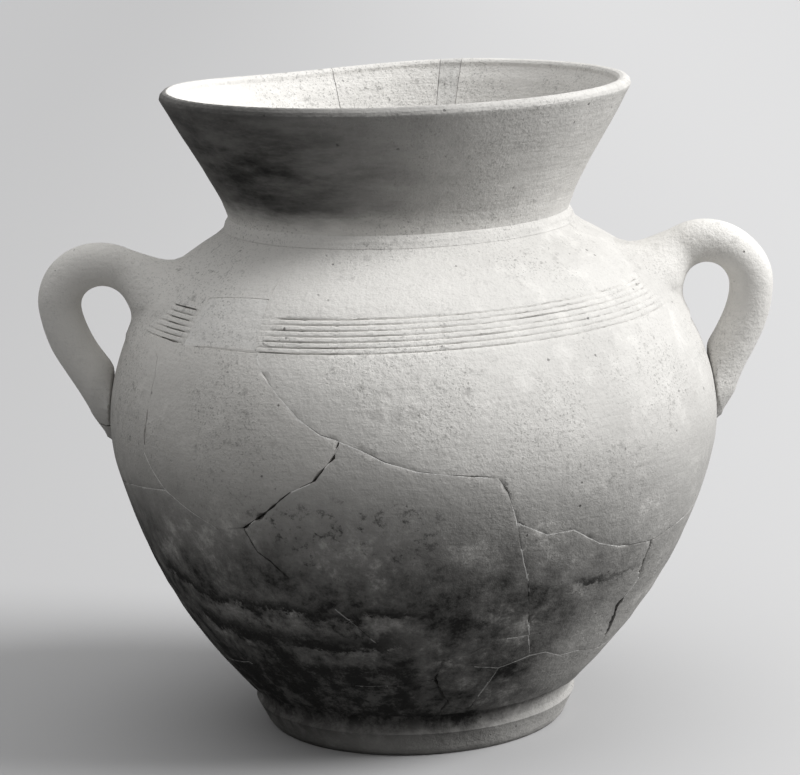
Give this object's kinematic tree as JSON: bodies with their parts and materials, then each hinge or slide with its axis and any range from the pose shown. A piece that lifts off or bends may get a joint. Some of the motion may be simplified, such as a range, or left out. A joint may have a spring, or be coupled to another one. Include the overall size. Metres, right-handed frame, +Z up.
{
  "type": "two-handled pottery jar",
  "caption": "Round-bodied pottery jar with a flaring neck, a disc foot, two side handles and a comb-incised band, mended from its sherds.",
  "frame": {"origin": "centre of the foot's flat underside", "axes": "+Z up along the jar's middle, +X towards the right handle, -Y towards the front"},
  "size_m": [0.3399, 0.2826, 0.3],
  "materials": {
    "pale_clay": "matte",
    "buff_clay": "matte",
    "grey_clay": "matte",
    "sooted_clay": "matte",
    "plaster_fill": "matte"
  },
  "bodies": {
    "root": {"foot_disc": "grey_clay", "base_sherd": "grey_clay", "foot_chip_sherd": "grey_clay", "low_front_sherd": "sooted_clay", "front_belly_sherd": "sooted_clay", "right_belly_sherd": "grey_clay", "right_side_sherd": "grey_clay", "left_lower_sherd": "sooted_clay", "left_belly_sherd": "buff_clay", "left_side_sherd": "buff_clay", "left_shoulder_sherd": "pale_clay", "band_fill": "plaster_fill", "front_shoulder_sherd": "pale_clay", "back_right_shoulder_sherd": "buff_clay", "back_left_shoulder_sherd": "buff_clay", "back_right_belly_sherd": "grey_clay", "back_left_belly_sherd": "grey_clay", "neck_and_rim": "buff_clay", "rim_fill_strip": "plaster_fill", "rim_back_sherd": "pale_clay", "left_handle": "buff_clay", "left_handle_stub": "buff_clay", "right_handle": "pale_clay"}
  },
  "joints": []
}
